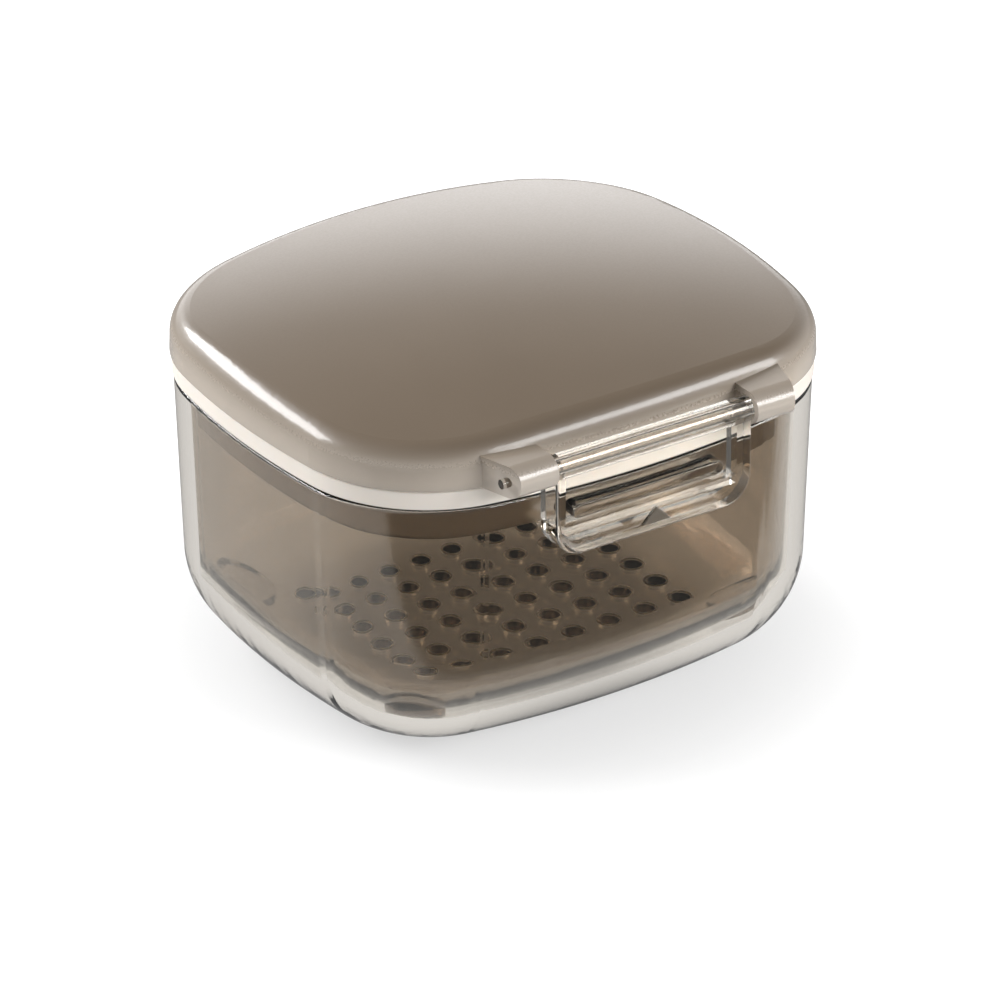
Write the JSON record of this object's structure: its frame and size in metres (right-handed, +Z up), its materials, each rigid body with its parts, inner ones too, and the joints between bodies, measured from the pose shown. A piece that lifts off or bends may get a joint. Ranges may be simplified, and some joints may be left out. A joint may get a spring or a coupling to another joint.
{
  "type": "retainer cleaning case",
  "caption": "Clear rounded-square case for a dental retainer, with a lift-out drain basket, a hinged frosted lid with a seal, and a front latch.",
  "frame": {"origin": "centre of the flat underside of the case, on the surface it stands on", "axes": "+Z up, +X along the latch side, -Y towards the latch"},
  "size_m": [0.0848, 0.0833, 0.056],
  "materials": {
    "clear_plastic": "glossy clear with a faint smoke tint",
    "smoke_plastic": "glossy translucent smoke brown",
    "frosted_plastic": "satin frosted translucent smoke brown",
    "silicone": "soft satin cream",
    "latch_plastic": "glossy clear",
    "pin_plastic": "glossy clear"
  },
  "bodies": {
    "case": {"case_box": "clear_plastic", "drain_basket": "smoke_plastic", "hinge_pin": "pin_plastic"},
    "lid": {"lid_shell": "frosted_plastic", "seal_ring": "silicone", "latch_pin": "pin_plastic"},
    "latch": {"latch": "latch_plastic"}
  },
  "joints": [
    {"name": "lid_hinge", "type": "hinge", "parent": "case", "child": "lid", "pos_m": [0, 0.0395, 0.0432], "axis": [-1, 0, 0], "range_deg": [0, 110]},
    {"name": "latch_hinge", "type": "hinge", "parent": "lid", "child": "latch", "pos_m": [0, -0.0393, 0.0479], "axis": [-1, 0, 0], "range_deg": [0, 100]}
  ]
}
